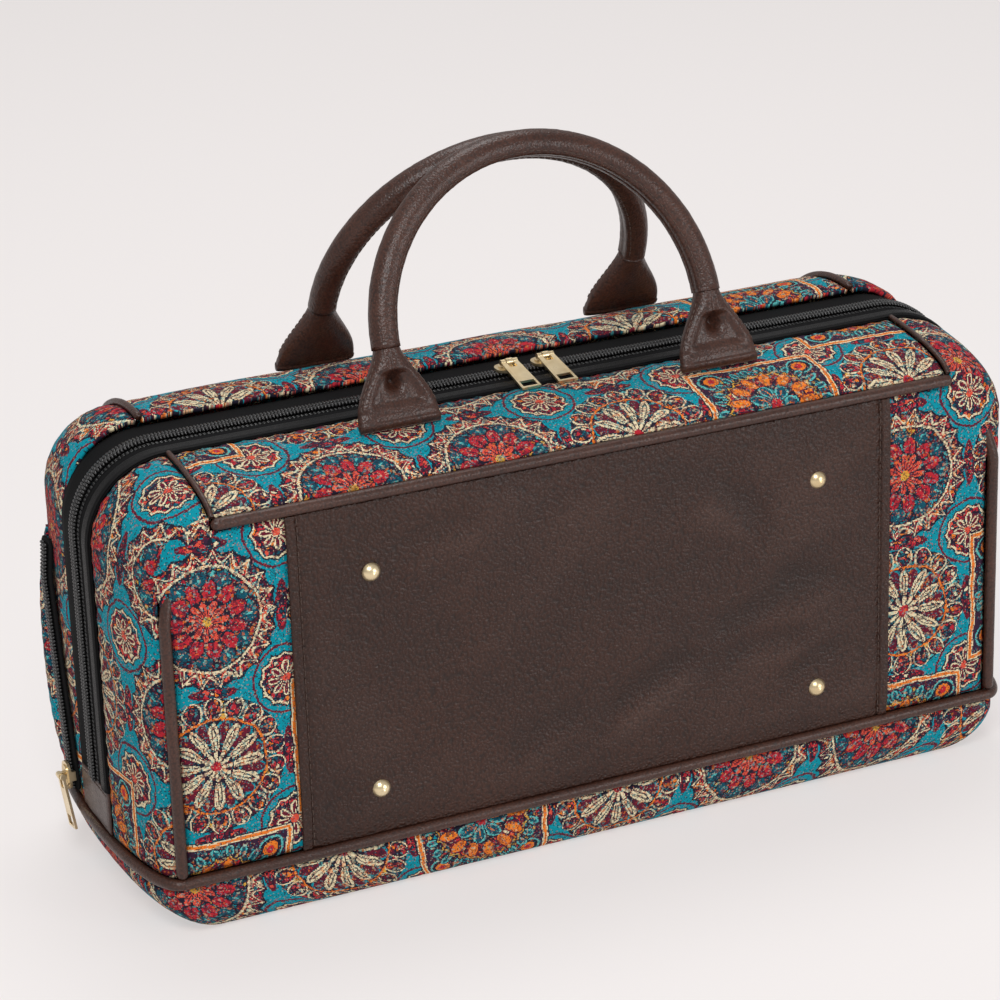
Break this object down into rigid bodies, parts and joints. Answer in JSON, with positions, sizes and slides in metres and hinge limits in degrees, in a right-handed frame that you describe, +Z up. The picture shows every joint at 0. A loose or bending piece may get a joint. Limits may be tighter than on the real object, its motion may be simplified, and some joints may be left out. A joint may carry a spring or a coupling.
{
  "type": "travel bag",
  "caption": "Soft travel bag with a medallion-patterned cloth body, a studded leather front panel, piped seams, rolled leather handles and a zip over the top with brass sliders.",
  "frame": {"origin": "middle of the cloth base on the floor that the bag stands on", "axes": "+X along the bag, -Y out of the leather front panel, +Z up"},
  "size_m": [0.5184, 0.174, 0.369],
  "materials": {
    "cloth": "woven medallion pattern in teal, red, cream and purple",
    "leather": "dark brown grained leather",
    "piping": "dark brown leather cord",
    "zip_tape": "black woven tape",
    "zip_coil": "black coil",
    "brass": "pale satin brass",
    "board": "plain board",
    "handle_cord": "plain filler cord"
  },
  "bodies": {
    "bag": {"front_panel": "cloth", "back_panel": "cloth", "front_leather": "leather", "top_strip_front": "cloth", "top_strip_rear": "cloth", "left_end_front": "cloth", "left_end_rear": "cloth", "right_end_front": "cloth", "right_end_rear": "cloth", "base_tray": "cloth", "base_board": "board", "front_top_piping": "piping", "front_left_piping": "piping", "front_right_piping": "piping", "rear_top_piping": "piping", "rear_left_piping": "piping", "rear_right_piping": "piping", "base_piping": "piping", "front_left_welt": "piping", "front_right_welt": "piping", "rear_left_welt": "piping", "rear_right_welt": "piping", "zip_tape_front": "zip_tape", "zip_tape_rear": "zip_tape", "zip_band": "zip_tape", "zip_chain_front": "zip_coil", "zip_chain_rear": "zip_coil", "left_zip_end": "leather", "right_zip_end": "leather", "pocket_panel": "cloth", "pocket_tape": "zip_tape", "pocket_chain": "zip_coil", "studs": "brass", "stud_washers": "brass"},
    "front_handle": {"front_handle_cover": "leather", "front_handle_core": "handle_cord", "front_left_tab": "leather", "front_right_tab": "leather"},
    "rear_handle": {"rear_handle_cover": "leather", "rear_handle_core": "handle_cord", "rear_left_tab": "leather", "rear_right_tab": "leather"},
    "left_slider": {"left_slider": "brass"},
    "left_pull": {"left_pull": "brass"},
    "right_slider": {"right_slider": "brass"},
    "right_pull": {"right_pull": "brass"},
    "pocket_slider": {"pocket_slider": "brass"},
    "pocket_pull": {"pocket_pull": "brass"}
  },
  "joints": [
    {"name": "front_handle_swing", "type": "hinge", "parent": "bag", "child": "front_handle", "pos_m": [0, -0.04253, 0.24382], "axis": [1, 0, 0], "range_deg": [0, 105]},
    {"name": "rear_handle_swing", "type": "hinge", "parent": "bag", "child": "rear_handle", "pos_m": [0, 0.07226, 0.24068], "axis": [-1, 0, 0], "range_deg": [0, 105]},
    {"name": "left_slider_travel", "type": "slide", "parent": "bag", "child": "left_slider", "axis": [-1, 0, 0], "range_m": [0, 0.185]},
    {"name": "left_pull_swing", "type": "hinge", "parent": "left_slider", "child": "left_pull", "pos_m": [-0.0105, 0, 0.2468], "axis": [-1, 0, 0], "range_deg": [0, 150]},
    {"name": "right_slider_travel", "type": "slide", "parent": "bag", "child": "right_slider", "axis": [1, 0, 0], "range_m": [0, 0.185]},
    {"name": "right_pull_swing", "type": "hinge", "parent": "right_slider", "child": "right_pull", "pos_m": [0.0105, 0, 0.2468], "axis": [-1, 0, 0], "range_deg": [0, 150]},
    {"name": "pocket_slider_travel", "type": "slide", "parent": "bag", "child": "pocket_slider", "axis": [0, 0.1736, 0.9848], "range_m": [0, 0.118]},
    {"name": "pocket_pull_swing", "type": "hinge", "parent": "pocket_slider", "child": "pocket_pull", "pos_m": [-0.26038, 0.03439, 0.04918], "axis": [0, 0.9848, -0.1736], "range_deg": [0, 120]}
  ]
}
